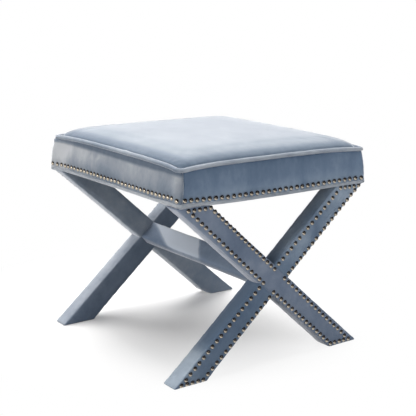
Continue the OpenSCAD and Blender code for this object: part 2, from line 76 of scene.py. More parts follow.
def placeCamera():
    yaw, pitch, roll = (math.radians(camera[k]) for k in ("yaw", "pitch", "roll"))
    look = Vector((math.sin(yaw) * math.cos(pitch), math.cos(yaw) * math.cos(pitch), -math.sin(pitch)))
    right = Vector((math.cos(yaw), -math.sin(yaw), 0))
    up = right.cross(look)
    x = math.cos(roll) * right + math.sin(roll) * up
    y = -math.sin(roll) * right + math.cos(roll) * up
    data = bpy.data.cameras.new("photoCamera")
    data.sensor_width = camera["sensor"]
    data.lens = camera["focal"] / camera["picture"] * camera["sensor"]
    data.clip_end = 50
    obj = bpy.data.objects.new("photoCamera", data)
    turn = Matrix((x, y, -look)).transposed().to_4x4()
    obj.matrix_world = Matrix.Translation(camera["eye"]) @ turn
    scene.collection.objects.link(obj)
    scene.camera = obj


placeCamera()
scene.view_settings.view_transform = "Standard"
print("camera placed")


# Sizes shared by the pieces
seat = {
    "w": 471 * mm, "d": 473 * mm,        # over the top of the side bands
    "under": 357 * mm,
    "weltZ": 435 * mm,
    "crown": 23 * mm,
    "drop": 5 * mm,                      # of the welt at the corners
    "flare": 5 * mm,
    "drawIn": 2 * mm,
    "cornerR": 8 * mm,
    "ears": (5 * mm, 9 * mm, 2 * mm, 5 * mm),        # back right, back left, front left, front right
    "earReach": 24 * mm,
    "bandTop": 4.6 * mm,                 # from the middle of the welt down to the bands
    "rollTop": 8 * mm,                   # above the underside
}


# Finishes
class Value:        # a shader socket that takes part in Python sums
    def __init__(self, finish, socket):
        self.finish, self.socket = finish, socket

    def __add__(self, other):
        return self.finish.sum("ADD", self, other)

    def __radd__(self, other):
        return self.finish.sum("ADD", other, self)

    def __sub__(self, other):
        return self.finish.sum("SUBTRACT", self, other)

    def __rsub__(self, other):
        return self.finish.sum("SUBTRACT", other, self)

    def __mul__(self, other):
        return self.finish.sum("MULTIPLY", self, other)

    def __rmul__(self, other):
        return self.finish.sum("MULTIPLY", other, self)


class Finish:       # the nodes of a material or of the world
    def __init__(self, name, world=False):
        self.owner = (bpy.data.worlds if world else bpy.data.materials).new(name)
        self.owner.use_nodes = True
        self.nodes = self.owner.node_tree.nodes
        self.links = self.owner.node_tree.links
        self.nodes.clear()
        self.output = self.nodes.new("ShaderNodeOutputWorld" if world else "ShaderNodeOutputMaterial")

    def node(self, kind, settings=None, inputs=None, out=0):
        made = self.nodes.new(kind)
        for key, value in (settings or {}).items():
            if key == "stops":
                ramp = made.color_ramp
                while len(ramp.elements) < len(value):
                    ramp.elements.new(0.5)
                for element, (place, tone) in zip(ramp.elements, value):
                    element.position = place
                    element.color = (*tone, 1)
            else:
                setattr(made, key, value)
        for key, value in (inputs or {}).items():
            socket = made.inputs[key]
            if isinstance(value, Value):
                self.links.new(value.socket, socket)
            else:
                socket.default_value = value
        return Value(self, made.outputs[out])

    def coords(self, scale=(1, 1, 1), turn=(0, 0, 0)):
        place = self.node("ShaderNodeTexCoord", out="Object")
        return self.node("ShaderNodeMapping", {}, {"Vector": place, "Scale": scale, "Rotation": turn})

    def noise(self, at, scale, detail=3, rough=0.5, warp=0.0):
        return self.node("ShaderNodeTexNoise", {}, {
            "Vector": at, "Scale": scale, "Detail": detail, "Roughness": rough, "Distortion": warp})

    def ramp(self, value, stops):
        return self.node("ShaderNodeValToRGB", {"stops": stops}, {"Fac": value})

    def dot(self, a, b):
        return self.node("ShaderNodeVectorMath", {"operation": "DOT_PRODUCT"}, {0: a, 1: b}, out="Value")

    def blend(self, share, a, b):
        return self.node("ShaderNodeMix", {"data_type": "RGBA"}, {
            "Factor": share, 6: (*a, 1) if isinstance(a, tuple) else a,
            7: (*b, 1) if isinstance(b, tuple) else b}, out=2)

    def bump(self, height, strength, distance, under=None):
        inputs = {"Height": height, "Strength": strength, "Distance": distance}
        if under is not None:
            inputs["Normal"] = under
        return self.node("ShaderNodeBump", {}, inputs)

    def surface(self, **sockets):
        inputs = {key.replace("_", " "): value for key, value in sockets.items()}
        return self.show(self.node("ShaderNodeBsdfPrincipled", {}, inputs))

    def show(self, shader):
        self.links.new(shader.socket, self.output.inputs[0])
        return self.owner

    def seen(self):     # 1 for rays from the camera, also by way of a gloss or a clear piece
        camera, glossy, clear = (self.node("ShaderNodeLightPath", out=f"Is {kind} Ray")
                                 for kind in ("Camera", "Glossy", "Transmission"))
        return self.sum("MAXIMUM", self.sum("MAXIMUM", camera, glossy), clear)

    def sum(self, operation, *values):
        return self.node("ShaderNodeMath", {"operation": operation}, dict(enumerate(values)))


velvet = {
    "deep": (0.095, 0.132, 0.188),       # darkest tone: darker pile at random, and painted shade
    "mid": (0.150, 0.192, 0.252),
    "pale": (0.250, 0.290, 0.345),       # paler tone: paler pile at random, and painted light
    # palest tone, reached mostly where painted light is laid on
    "frost": (0.420, 0.460, 0.510),
    "stops": {"deep": 0.30, "mid": 0.50, "pale": 0.72, "frost": 0.95},
    "sheen": 1.0,
    "sheenRough": 0.35,
    "sheenTint": (0.95, 0.96, 1.0, 1),
    "rough": 0.82,
    "marks": 7.0,                        # marks of the hand, per metre
    "pile": 1500.0,                      # fibres, per metre
    "creaseBump": (0.35, 0.0006),        # strength and depth
    "fibreBump": (0.4, 0.0003),
    "gloss": 0.25,
}
napsAndPaintedLight = {        # how the pile lies, brush by place, with painted light and shade: shift and tint make lit and shaded copies of one velvet, face lightens or darkens a side by the way it looks, shades paint bands of light and shadow from and to a place
    # velvetTop: painted shade darkens the rim near the left and the front welt, painted light brightens the
    # right side
    "velvetTop": {"brush": (1.0, 0.7, 1), "shift": 0.13, "tint": (1.0, 1.0, 0.97), "shades": (
        ((-1, 0, 0), 0.200, 0.226, -0.36), ((0, -1, 0), 0.202, 0.229, -0.24),
        ((1, 0, 0), 0.10, 0.235, 0.14))},
    # velvetFront, on the front and back bands: painted shade, darker towards the top and in a strip right
    # under the welt
    "velvetFront": {"brush": (1.6, 1, 0.7), "tint": (0.92, 1.02, 1.11), "shades": (
        ((0, 0, 1), 0.372, 0.400, -0.14), ((0, 0, 1), 0.415, 0.429, -0.10)), "shift": 0.13},
    # velvetSide, on the left and right bands: painted shadow in a strip under the welt, painted light on the
    # upper part, and on the left-looking side painted light towards the back and the front end
    "velvetSide": {"brush": (1, 1.3, 0.8), "shift": -0.05, "tint": (1.03, 0.99, 0.95), "shades": (
        ((0, 1, 0), -0.02, 0.235, 0.37, (-1, 0, 0)), ((0, 0, 1), 0.416, 0.426, -0.60),
        ((0, 0, 1), 0.372, 0.412, 0.20), ((0, -1, 0), 0.210, 0.236, 0.12, (-1, 0, 0)))},
    # velvetTrim and velvetRoll: painted light by shift, and face lightens or darkens a side by the way it
    # looks
    "velvetTrim": {"shift": 0.14, "face": (0.08, -0.20, 0.02), "tint": (1.02, 1.0, 0.98)},
    "velvetRoll": {"shift": 0.28, "face": (0, -0.05, 0), "tint": (1.02, 0.99, 0.96)},
    # velvetMain: face paints light on the side that looks left and down
    "velvetMain": {"shift": 0.01, "face": (-0.08, 0, -0.08), "tint": (1.0, 1.0, 1.05)},
    # velvetCross: painted light near the foot, most on the side that looks left and up, painted shade on that
    # side near the crossing, painted light towards the top; face darkens that side
    "velvetCross": {"shift": -0.10, "face": (0.08, 0, -0.08), "tint": (0.94, 1.02, 1.08), "shades": (
        ((0, 0, -1), -0.10, -0.045, 0.52, (-0.66, 0, 0.75)), ((0, 0, -1), -0.11, -0.05, 0.06),
        ((0, 0, 1), 0.09, 0.15, -0.16, (-0.66, 0, 0.75)), ((0, 0, 1), 0.20, 0.26, 0.20, (-0.66, 0, 0.75)),
        ((0, 0, 1), 0.19, 0.33, 0.34))},
    # velvetRearMain and velvetRearCross: painted light and shade by shift and by face, a side lighter or
    # darker by the way it looks
    "velvetRearMain": {"shift": -0.03, "face": (-0.26, 0.05, 0.19), "tint": (1.0, 1.0, 1.02)},
    "velvetRearCross": {"shift": 0.11, "face": (-0.14, 0, -0.14), "tint": (1.0, 1.0, 1.0)},
    # velvetStretcher: painted shade by shift, a painted pool of light on the big face with a crisp edge
    # before the front end, and a painted shadow triangle at the rear end
    "velvetStretcher": {"face": (-0.32, 0, 0.10), "shift": -0.30, "tint": (0.97, 1.0, 1.05), "shades": (
        ((-0.505, 0.742, -0.441), -0.092, -0.076, 0.72, (-0.66, 0, 0.75)),
        ((-0.694, 0.388, -0.606), -0.060, -0.042, -0.94, (-0.66, 0, 0.75)))},
}


def makeVelvet(name):
    napAndPaintedLight = {"brush": (1, 1, 1), "shift": 0.0, "face": (0, 0, 0), "shades": (), "tint": (1, 1, 1), **napsAndPaintedLight[name]}
    f = Finish(name)
    at = f.coords(scale=napAndPaintedLight["brush"])
    fine = f.coords()
    marks = f.noise(at, velvet["marks"], 4, 0.55, 0.6)
    streaks = f.noise(at, velvet["marks"] * 5, 3, 0.6, 0.2)
    crushed = f.noise(fine, 95, 2, 0.5)
    fibre = f.noise(fine, velvet["pile"], 1, 0.5)
    place = f.node("ShaderNodeTexCoord", out="Object")
    side = f.node("ShaderNodeTexCoord", out="Normal")
    tone = marks * 0.55 + streaks * 0.27 + crushed * 0.1 + fibre * 0.08
    # painted light and shade: a side lighter or darker by the way it looks, and the piece's own shift
    tone = tone + f.dot(side, napAndPaintedLight["face"]) + napAndPaintedLight["shift"]
    # painted bands of light and shadow, between two places along a way
    for way, start, end, amount, *facing in napAndPaintedLight["shades"]:
        at = f.dot(place, way) + (marks - 0.5) * (end - start)
        paintedLightAndShade = f.node("ShaderNodeMapRange", {"interpolation_type": "SMOOTHSTEP"}, {
            "Value": at, "From Min": start, "From Max": end, "To Min": 0.0, "To Max": amount})
        for look in facing:     # only on the side that looks this way
            paintedLightAndShade = paintedLightAndShade * f.sum("MAXIMUM", f.dot(side, look), 0.0)
        tone = tone + paintedLightAndShade
    stops = [(at, tuple(c * t for c, t in zip(velvet[k], napAndPaintedLight["tint"]))) for k, at in velvet["stops"].items()]
    colour = f.ramp(tone, stops)
    rough = streaks * 0.14 + (velvet["rough"] - 0.07)
    low = f.bump(crushed + streaks, *velvet["creaseBump"])
    normal = f.bump(fibre, *velvet["fibreBump"], low)
    return f.surface(
        Base_Color=colour, Roughness=rough, Normal=normal, Sheen_Weight=velvet["sheen"],
        Sheen_Roughness=velvet["sheenRough"], Sheen_Tint=velvet["sheenTint"],
        Specular_IOR_Level=velvet["gloss"])


metals = {
    # a nail's black, on the side that looks up, is a painted dark reflection
    "nail": {"colour": (0.50, 0.45, 0.37), "dark": (0.32, 0.27, 0.21), "rough": 0.20, "grain": 260,
             "shaded": (0.35, -0.1, 0.93), "black": (0.035, 0.030, 0.028)},
    "steel": {"colour": (0.66, 0.67, 0.69), "dark": (0.46, 0.47, 0.49), "rough": 0.34, "grain": 400},
    "screw": {"colour": (0.72, 0.66, 0.46), "dark": (0.50, 0.45, 0.30), "rough": 0.36, "grain": 500},
}


def makeMetal(name, kind):
    look = metals[kind]
    f = Finish(name)
    at = f.coords()
    spots = f.noise(at, look["grain"], 3, 0.6)
    wide = f.noise(at, 18, 2, 0.5)
    colour = f.blend(spots * 0.35 + wide * 0.2, look["colour"], look["dark"])
    if "shaded" in look:        # painted reflection: black on the side that looks up, where a nail would mirror the dark above
        side = f.node("ShaderNodeTexCoord", out="Normal")
        up = f.node("ShaderNodeMapRange", {"interpolation_type": "SMOOTHSTEP"}, {
            "Value": f.dot(side, look["shaded"]), "From Min": -0.12, "From Max": 0.06})
        colour = f.blend(up, colour, look["black"])
    rough = spots * 0.16 + (look["rough"] - 0.06)
    return f.surface(Base_Color=colour, Roughness=rough, Metallic=1.0, Normal=f.bump(spots, 0.12, 0.0002))


woods = {
    "birchPly": {"light": (0.66, 0.47, 0.27), "dark": (0.46, 0.30, 0.16), "along": (1, 9, 9)},
    "softwood": {"light": (0.70, 0.50, 0.28), "dark": (0.50, 0.31, 0.15), "along": (1.2, 12, 12)},
    "hardwood": {"light": (0.52, 0.33, 0.18), "dark": (0.33, 0.19, 0.09), "along": (1, 14, 8)},
    "beech": {"light": (0.74, 0.55, 0.35), "dark": (0.60, 0.41, 0.24), "along": (14, 1, 14)},
}


def makeWood(name, kind, turn=(0, 0, 0)):
    look = woods[kind]
    f = Finish(name)
    at = f.coords(scale=look["along"], turn=turn)
    rings = f.noise(at, 14, 5, 0.6, 1.6)
    pores = f.noise(at, 120, 2, 0.7)
    colour = f.ramp(rings * 0.75 + pores * 0.25, [(0.35, look["dark"]), (0.62, look["light"])])
    normal = f.bump(pores + rings * 0.4, 0.25, 0.0004)
    return f.surface(Base_Color=colour, Roughness=pores * 0.2 + 0.5, Normal=normal)


softFills = {
    "foam": {"a": (0.80, 0.74, 0.52), "b": (0.68, 0.60, 0.38), "grain": 420, "depth": 0.0012},
    "wadding": {"a": (0.86, 0.86, 0.84), "b": (0.74, 0.74, 0.72), "grain": 160, "depth": 0.0020},
    "cord": {"a": (0.76, 0.72, 0.62), "b": (0.55, 0.50, 0.40), "grain": 700, "depth": 0.0006},
    "dustCloth": {"a": (0.022, 0.022, 0.024), "b": (0.045, 0.045, 0.048), "grain": 900, "depth": 0.0003},
}


def makeFill(name, kind):
    look = softFills[kind]
    f = Finish(name)
    at = f.coords()
    cells = f.node("ShaderNodeTexVoronoi", {}, {"Vector": at, "Scale": look["grain"]})
    wide = f.noise(at, 25, 3, 0.5)
    colour = f.blend(cells * 0.5 + wide * 0.4, look["a"], look["b"])
    return f.surface(Base_Color=colour, Roughness=wide * 0.1 + 0.86, Normal=f.bump(cells, 0.5, look["depth"]))


def makeGlide():
    f = Finish("glidePlastic")
    grain = f.noise(f.coords(), 1200, 2, 0.5)
    scuff = f.noise(f.coords(), 60, 4, 0.7)
    colour = f.blend(scuff * 0.6, (0.018, 0.018, 0.02), (0.06, 0.06, 0.062))
    return f.surface(Base_Color=colour, Roughness=scuff * 0.3 + 0.38, Normal=f.bump(grain, 0.2, 0.0001))


velvets = {name: makeVelvet(name) for name in napsAndPaintedLight}
nailMetal = makeMetal("nailMetal", "nail")
print("finishes made")


def dress(node, material):
    slots = bpy.data.objects[node].material_slots
    for s in slots:
        s.material = material
    if not slots:
        bpy.data.objects[node].data.materials.append(material)


steel = makeMetal("fixingSteel", "steel")
screwMetal = makeMetal("screwMetal", "screw")
softwoodX = makeWood("softwoodAlongX", "softwood")
softwoodY = makeWood("softwoodAlongY", "softwood", (0, 0, math.pi / 2))
frameWood = makeWood("frameHardwood", "hardwood")
cadFinishes = {
    "welt_cord": makeFill("cottonCord", "cord"),
    "side_wadding": makeFill("sideWadding", "wadding"),
    "seat_deck": makeWood("birchPlywood", "birchPly"),
    "rail_front": softwoodX, "rail_back": softwoodX, "rail_left": softwoodY, "rail_right": softwoodY,
    "corner_blocks": softwoodX,
    "deck_screws": screwMetal, "block_screws": screwMetal,
    "leg_studs": steel, "stud_inserts": steel, "stretcher_bolts": steel,
    "stretcher_washers": steel, "barrel_nuts": steel,
    "front_leg_main": frameWood, "front_leg_cross": frameWood,
    "back_leg_main": frameWood, "back_leg_cross": frameWood,
    "stretcher_board": makeWood("stretcherHardwood", "hardwood", (0, 0, math.pi / 2)),
    "stretcher_dowels": makeWood("beechDowel", "beech"),
    "front_glides": makeGlide(), "back_glides": bpy.data.materials["glidePlastic"],
}
for node, material in cadFinishes.items():
    dress(node, material)
print("inner pieces finished")


# Shared shapes
def seatEdge(k, u, out=0.0, spread=0.0):        # k is 0 back, 1 left, 2 front, 3 right
    signs = ((1, 1), (-1, 1), (-1, -1), (1, -1))
    inner = seat["cornerR"] - spread
    r = max(seat["cornerR"] + out, 0.2 * mm)
    a, b = (Vector((s[0] * (seat["w"] / 2 - inner), s[1] * (seat["d"] / 2 - inner), 0))
            for s in (signs[k], signs[(k + 1) % 4]))
    side = (b - a).length
    arc = r * math.pi / 4
    way = u * (side + 2 * arc)
    t = min(max((way - arc) / side, 0), 1)
    turn = 90 * (k + 1)
    if way < arc:
        turn += math.degrees((way - arc) / r)
    elif way > arc + side:
        turn += math.degrees((way - arc - side) / r)
    n = Vector((math.cos(math.radians(turn)), math.sin(math.radians(turn)), 0))
    p = a.lerp(b, t) + n * (r - seat["drawIn"] * math.sin(math.pi * t))
    return p, n, abs(2 * t - 1) ** 4


def ringEdge(w, out=0.0, spread=0.0):           # w runs from 0 to 4 round the seat
    return seatEdge(int(w) % 4, w - int(w), out, spread)


hem = {"lift": 3.8 * mm, "reach": 60 * mm, "sag": 2.0 * mm, "side": 1.5 * mm}


def hemShift(x, y):     # how far the seat's lower edge rises or sinks at a place
    corner = math.hypot(x + seat["w"] / 2, y + seat["d"] / 2)
    rise = hem["lift"] * math.exp(-(corner / hem["reach"]) ** 2)
    along, across = 2 * x / seat["w"], 2 * y / seat["d"]
    if -across > max(abs(along), 0.8):
        return rise - hem["sag"] * max(0, 1 - along * along) ** 1.5
    if -along > max(abs(across), 0.8):
        return rise + hem["side"] * max(0, 1 - across * across)
    return rise


def bandEdge(w, out=0.0, spread=0.0):           # the ring with the corners that the stuffing pushes out
    p, n, drop = ringEdge(w % 4, out, spread)
    corner = min(w % 1, 1 - w % 1) * seat["w"]
    return p + n * seat["ears"][round(w) % 4] * math.exp(-(corner / seat["earReach"]) ** 2), n, drop


def finishMesh(bm, name, material, smooth=True):
    mesh = bpy.data.meshes.new(name)
    bmesh.ops.recalc_face_normals(bm, faces=bm.faces)
    bm.to_mesh(mesh)
    bm.free()
    for face in mesh.polygons:
        face.use_smooth = smooth
    mesh.materials.append(material)
    obj = bpy.data.objects.new(name, mesh)
    scene.collection.objects.link(obj)
    return obj


def applyModifiers(obj):
    graph = bpy.context.evaluated_depsgraph_get()
    made = bpy.data.meshes.new_from_object(obj.evaluated_get(graph))
    old = obj.data
    obj.modifiers.clear()
    obj.data = made
    bpy.data.meshes.remove(old)
    for face in made.polygons:
        face.use_smooth = True


def moveTo(obj, places):
    for v, p in zip(obj.data.vertices, places):
        v.co = p


def thicken(obj, t):
    shell = obj.modifiers.new("shell", "SOLIDIFY")
    shell.thickness = t
    shell.offset = -1
    shell.use_even_offset = False


def settle(obj, pressure, cap, grow, pins=None, frames=20):     # blows the cloth out a little
    start = [v.co.copy() for v in obj.data.vertices]
    if pins is not None:
        group = obj.vertex_groups.new(name="held")
        for i, weight in pins.items():
            group.add([i], weight, "REPLACE")
    cloth = obj.modifiers.new("cloth", "CLOTH")
    s = cloth.settings
    s.quality = 5
    s.mass = 0.3
    s.use_pressure = True
    s.uniform_pressure_force = pressure
    s.effector_weights.gravity = 0
    s.tension_stiffness = s.compression_stiffness = 20
    s.shear_stiffness = 8
    s.bending_stiffness = 1.2
    s.shrink_min = -grow
    cloth.collision_settings.use_collision = False
    if pins is not None:
        s.vertex_group_mass = "held"
        s.pin_stiffness = 1
    cloth.point_cache.frame_start = 1
    cloth.point_cache.frame_end = frames
    for f in range(1, frames + 1):
        scene.frame_set(f)
    graph = bpy.context.evaluated_depsgraph_get()
    moved = [v.co.copy() for v in obj.evaluated_get(graph).data.vertices]
    obj.modifiers.remove(cloth)
    scene.frame_set(1)
    steps = [b - a for a, b in zip(start, moved)]
    moveTo(obj, [a + step * cap / (cap + step.length) for a, step in zip(start, steps)])


def smoothFiner(obj):
    fine = obj.modifiers.new("fine", "SUBSURF")
    fine.levels = fine.render_levels = 1
    applyModifiers(obj)


def ready(obj, *nodes, slotName="velvet"):
    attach(obj, "root")
    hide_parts(*nodes)


# Nail places
nails = {
    "d": 9.5 * mm, "rise": 3.0 * mm, "pinD": 1.5 * mm, "pinL": 16 * mm,
    "inset": 7 * mm,                     # from a leg's edge to its row
    "rows": ((0.018, 0.982, 32), (0.014, 0.957, 34), (-0.008, 0.982, 33), (0.018, 0.982, 32)),
    "legEnds": {     # where a row ends at the top or the foot (x and z in mm), and its gaps
        "main": {(1, -1): (-216.3, 352, 18), (1, 1): (-164.5, 352, 17),
                 (-1, -1): (167.5, 8.7, 16), (-1, 1): (221.2, 8.1, 17)},
        "cross": {(1, -1): (-229.1, 352, 19), (1, 1): (-176.3, 352, 16),
                  (-1, -1): (175.5, 6.6, 16), (-1, 1): (228.0, 6.6, 19)},
    },
    "bandZ": 371 * mm, "stagger": 0.9 * mm,
    "stray": 0.35 * mm,                  # how far a hand-set nail sits off its row
    "tilt": 2.5,                         # degrees
    "spins": 12,
}
legs = {
    "w": 51 * mm, "t": 39 * mm, "under": 2 * mm,
    "span": 484 * mm, "depth": 478 * mm,
    "soft": 1.2 * mm,                    # rounding of the long edges
    "full": 0.5 * mm,                    # velvet outside the wood's own outline
    "cell": 3 * mm,                      # of the mesh that is blown out
    "pressure": 3.0, "cap": 0.9 * mm, "grow": 0.004,
    "footDown": 1.2 * mm, "topUp": 1.5 * mm,     # how far the sleeves run past the wood's ends
    "tip": 2.5 * mm,                     # how much longer the sharp end of a foot is cut
    "foot": 6 * mm,                      # height over which a foot is pressed flat
    "press": 1.4 * mm, "sole": 0.4 * mm,         # how far, and down to what height
    "tuck": 4 * mm,                      # how far a half leg's sleeve runs under the through leg's
    "dimple": 0.9 * mm, "dimpleR": 6 * mm, "wave": 0.35 * mm,
    "shell": 1.0 * mm,
}
legH = seat["under"] - legs["under"]
slope = math.atan(legH / legs["span"]) + math.asin(legs["w"] / math.hypot(legs["span"], legH))
crossZ = legs["under"] + legH / 2
crossEdge = legs["w"] / math.sin(2 * slope)
frontY = -legs["depth"] / 2
rowOff = legs["w"] / 2 - nails["inset"]
bandTopZ = seat["weltZ"] - seat["bandTop"]
rollTopZ = seat["under"] + seat["rollTop"]


def onLeg(along, across):
    return Vector((across * math.sin(slope) - along * math.cos(slope),
                   crossZ + along * math.sin(slope) + across * math.cos(slope)))


def legNails(kind, first):
    places = []
    for s in (-1, 1):
        ends = {}
        for side in (-1, 1):
            across = side * rowOff
            start = onLeg((s * rowOff - across * math.cos(2 * slope)) / math.sin(2 * slope), across)
            x, z, n = nails["legEnds"][kind][s, side]
            ends[side] = Vector((x, z)) * mm
            places += [start.lerp(ends[side], i / n) for i in range(first, n + 1)]
        places += [ends[-1].lerp(ends[1], i / 4) for i in (1, 2, 3)]
    return places


mainPlaces = [Vector((p.x, frontY, p.y)) for p in legNails("main", 0)]
crossPlaces = [Vector((-p.x, frontY, p.y)) for p in legNails("cross", 1)]


def bandPlaces(k):
    z = nails["bandZ"] + (1 if k % 2 else -1) * nails["stagger"]
    out = seat["flare"] * (bandTopZ - z) / (bandTopZ - rollTopZ)
    tilt = math.atan(seat["flare"] / (bandTopZ - rollTopZ))
    first, last, count = nails["rows"][k]
    places = []
    for i in range(count):
        p, n = bandEdge(k + first + (last - first) * i / (count - 1), 0, out)[:2]
        p.z = z + hemShift(p.x, p.y)
        turn = Matrix.Rotation(math.atan2(n.y, n.x), 4, "Z")
        places.append(Matrix.Translation(p) @ turn @ Matrix.Rotation(math.pi / 2 - tilt, 4, "Y"))
    return places


def nailMesh():
    bm = bmesh.new()
    r, h = nails["d"] / 2, nails["rise"]
    angles = [math.radians(a) for a in (62, 34, 10)]
    profile = [(0, h + 0.1 * mm)]
    profile += [(r * math.cos(a), h * math.sin(a) + 0.1 * mm) for a in angles]
    profile += [(r, 0.15 * mm), (nails["pinD"] / 2, 0.05 * mm), (nails["pinD"] / 2, 1.5 * mm - nails["pinL"])]
    profile += [(0, -nails["pinL"])]
    line = [bm.verts.new((x, 0, z)) for x, z in profile]
    edges = [bm.edges.new(pair) for pair in zip(line, line[1:])]
    bmesh.ops.spin(bm, geom=line + edges, cent=(0, 0, 0), axis=(0, 0, 1), angle=2 * math.pi,
                   steps=nails["spins"], use_merge=True, use_duplicate=False)
    bmesh.ops.remove_doubles(bm, verts=bm.verts, dist=0.01 * mm)
    bmesh.ops.recalc_face_normals(bm, faces=bm.faces)
    mesh = bpy.data.meshes.new("oneNail")
    bm.to_mesh(mesh)
    bm.free()
    return mesh


oneNail = nailMesh()


def setNails(name, places, node, seed):
    rng = random.Random(seed)
    bm = bmesh.new()
    for at in places:
        before = len(bm.verts)
        bm.from_mesh(oneNail)
        bm.verts.ensure_lookup_table()
        stray = Vector((rng.uniform(-1, 1), rng.uniform(-1, 1), rng.uniform(-0.4, 0.4))) * nails["stray"]
        tipX, tipY = (math.radians(rng.uniform(-1, 1) * nails["tilt"]) for _ in "xy")
        lean = Matrix.Rotation(tipX, 4, "X") @ Matrix.Rotation(tipY, 4, "Y")
        turn = Matrix.Rotation(rng.uniform(0, math.pi), 4, "Z")
        bmesh.ops.transform(bm, matrix=at @ Matrix.Translation(stray) @ lean @ turn, verts=bm.verts[before:])
    ready(finishMesh(bm, name, nailMetal), node, slotName="nail_metal")


halfTurn = Matrix.Rotation(math.pi, 4, "Z")
faceFront = Matrix.Rotation(math.pi / 2, 4, "X")
for places, kind, seed in ((mainPlaces, "main", 3), (crossPlaces, "cross", 11)):
    atFront = [Matrix.Translation(p) @ faceFront for p in places]
    setNails("frontNails." + kind, atFront, f"front_{kind}_nails", seed)
    setNails("backNails." + kind, [halfTurn @ m for m in atFront], f"back_{kind}_nails", seed + 1)
for k, side in enumerate(("back", "left", "front", "right")):
    setNails("bandNails." + side, bandPlaces(k), f"band_nails_{side}", 20 + k)
print("nails set")


# Leg sleeves
def softBar(name, outline, rounding, y0, y1, material, hidden=(), place=None):
    bm = bmesh.new()
    face = bm.faces.new([bm.verts.new((x, y0, z)) for x, z in outline])
    made = bmesh.ops.extrude_face_region(bm, geom=[face])
    moved = [g for g in made["geom"] if isinstance(g, bmesh.types.BMVert)]
    bmesh.ops.translate(bm, verts=moved, vec=(0, y1 - y0, 0))

    def near(v, i):
        return math.hypot(v.co.x - outline[i][0], v.co.z - outline[i][1]) < 0.1 * mm

    for i, size in enumerate(rounding):
        if size > 0:
            edges = [e for e in bm.edges if all(near(v, i) for v in e.verts)]
            bmesh.ops.bevel(bm, geom=edges, offset=size, segments=8, profile=0.5, affect="EDGES", material=-1)
    bare = [e for e in bm.edges if all(any(near(v, i) for i in hidden) for v in e.verts)]
    ends = [e for e in bm.edges if abs(e.verts[0].co.z - e.verts[1].co.z) < 0.01 * mm]
    rims = [e for e in bm.edges if abs(e.verts[0].co.y - e.verts[1].co.y) < 0.01 * mm
            and e not in bare and e not in ends]
    bmesh.ops.bevel(bm, geom=rims, offset=legs["soft"], segments=2, profile=0.5, affect="EDGES", material=-1)
    if place is not None:
        bmesh.ops.transform(bm, matrix=place, verts=bm.verts)
    obj = finishMesh(bm, name, material)
    remesh = obj.modifiers.new("cells", "REMESH")
    remesh.mode = "VOXEL"
    remesh.voxel_size = legs["cell"]
    applyModifiers(obj)
    settle(obj, legs["pressure"], legs["cap"], legs["grow"])
    smoothFiner(obj)
    moved = []
    for v in obj.data.vertices:
        pressed = v.co.z - max(0, 1 - v.co.z / legs["foot"]) * legs["press"]
        moved.append(Vector((v.co.x, v.co.y, max(pressed, min(v.co.z, legs["sole"])))))
    moveTo(obj, moved)
    return obj


def placeTree(places):
    tree = kdtree.KDTree(max(1, len(places)))
    for i, p in enumerate(places):
        tree.insert(p, i)
    tree.balance()
    return tree


def dimple(obj, places, depth, reach, wave, seed):
    tree = placeTree(places)
    moved = []
    for v in obj.data.vertices:
        push = wave * noise.noise(v.co * 22 + Vector((seed, 0, 0)))
        push += wave * 0.5 * noise.noise(v.co * 70 + Vector((0, seed, 0)))
        if places:
            push -= depth * math.exp(-(tree.find(v.co)[2] / reach) ** 2)
        moved.append(v.co + v.normal * push)
    moveTo(obj, moved)


def cover(obj, replaced):
    thicken(obj, legs["shell"])
    ready(obj, replaced)


def legX(z, side):
    return (crossZ - z) / math.tan(slope) + side * (legs["w"] / 2 + legs["full"]) / math.sin(slope)


footZ, topZ = legs["under"] - legs["footDown"], seat["under"] + legs["topUp"]
corners = [(footZ, -1, 0), (footZ, 1, legs["tip"]), (topZ, 1, 0), (topZ, -1, 0)]
mainOutline = [(legX(z, side) + more, z) for z, side, more in corners]


def crossOutline(upper):
    s = 1 if upper else -1
    farZ = topZ if upper else footZ
    near = [(0, crossZ + s * crossEdge * math.sin(slope)), (-s * crossEdge * math.cos(slope), crossZ)]
    away = Vector((-math.sin(slope), math.cos(slope))) * s       # square to the through leg's edge, outwards
    near = [(x - away.x * legs["tuck"], z - away.y * legs["tuck"]) for x, z in near]
    far = [(legX(farZ, -s) + (0 if upper else legs["tip"]), farZ), (legX(farZ, s), farZ)]
    return [(-x, z) for x, z in near + far]


sleeves = (      # name, outline, blunt corner and its rounding at the front and the back, hidden end, nails
    ("main", mainOutline, 0, (7 * mm, 2 * mm), (), mainPlaces),
    ("upper", crossOutline(True), 0, (0, 0), (0, 1), crossPlaces),
    ("lower", crossOutline(False), 3, (2 * mm, 20 * mm), (0, 1), crossPlaces),
)
for back in (False, True):
    frameName = "back" if back else "front"
    for i, (name, outline, blunt, sizes, hidden, places) in enumerate(sleeves):
        leg = "Main" if name == "main" else "Cross"
        material = velvets["velvetRear" + leg if back else "velvet" + leg]
        rounding = [sizes[back] if k == blunt else 0 for k in range(4)]
        obj = softBar(f"{frameName}.legCover.{name}", outline, rounding, frontY, frontY + legs["t"],
                      material, hidden)
        dimple(obj, places, legs["dimple"], legs["dimpleR"], legs["wave"], i + 1 + 10 * back)
        if back:
            obj.data.transform(halfTurn)
        node = "main_cover" if name == "main" else "cross_cover_" + name
        cover(obj, f"{frameName}_{node}")
print("leg covers made")


